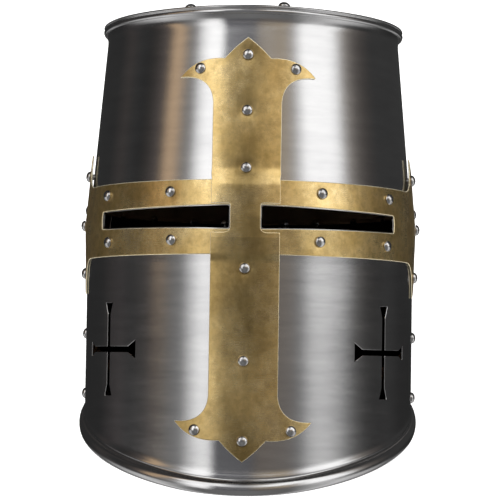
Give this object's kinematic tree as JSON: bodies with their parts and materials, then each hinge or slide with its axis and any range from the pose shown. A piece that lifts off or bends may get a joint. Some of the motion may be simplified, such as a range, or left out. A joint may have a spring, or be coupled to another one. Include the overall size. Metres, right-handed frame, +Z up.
{
  "type": "great helm",
  "caption": "Flat-topped great helm of riveted steel plates with a brass cross, eye slits, cross-shaped breaths, laced leather liner and buckled chin strap.",
  "frame": {"origin": "middle of the bounding box's base: the helm stands on its raked rim, whose plane is z = 0", "axes": "front of the helm faces -Y, wearer's left is +X, +Z is up; +Y is the longest extent because the helm leans back on its rim"},
  "size_m": [0.23, 0.3337, 0.2918],
  "materials": {
    "steel": "polished with fine horizontal brush marks",
    "brass": "aged, mottled, with bright cut edges",
    "rivet_steel": "polished domed heads",
    "liner_leather": "matt vegetable-tanned",
    "lace": "round leather lace",
    "strap_leather": "waxed, dark brown",
    "buckle_brass": "satin"
  },
  "bodies": {
    "shell": {"crown_plate": "steel", "upper_front_plate": "steel", "upper_rear_plate": "steel", "lower_front_plate": "steel", "lower_rear_plate": "steel", "cross_upright": "brass", "crossbar": "brass", "crown_rivets": "rivet_steel", "upright_rivets": "rivet_steel", "upright_finial_rivets": "rivet_steel", "crossbar_upper_rivets": "rivet_steel", "crossbar_lower_rivets": "rivet_steel", "side_finial_rivets_left": "rivet_steel", "side_finial_rivets_right": "rivet_steel", "upper_seam_rivets_left": "rivet_steel", "upper_seam_rivets_right": "rivet_steel", "lower_seam_rivets": "rivet_steel", "rear_waist_rivets": "rivet_steel", "strap_rivet_left": "rivet_steel", "strap_rivet_right": "rivet_steel", "strap_washers": "rivet_steel", "liner_band": "liner_leather", "liner_tongues": "liner_leather", "liner_lace": "lace"},
    "chin_strap": {"chin_strap_buckle_side": "strap_leather", "chin_strap_hole_side": "strap_leather", "strap_keeper": "strap_leather", "buckle_frame": "buckle_brass"},
    "buckle_tongue": {"buckle_tongue": "buckle_brass"}
  },
  "joints": [
    {"name": "strap_swing", "type": "hinge", "parent": "shell", "child": "chin_strap", "pos_m": [0, -0.01049, 0.05706], "axis": [1, 0, 0], "range_deg": [-75, 75]},
    {"name": "buckle_tongue_hinge", "type": "hinge", "parent": "chin_strap", "child": "buckle_tongue", "pos_m": [-0.01, -0.01049, 0.01521], "axis": [0, -1, 0], "range_deg": [0, 12]}
  ]
}
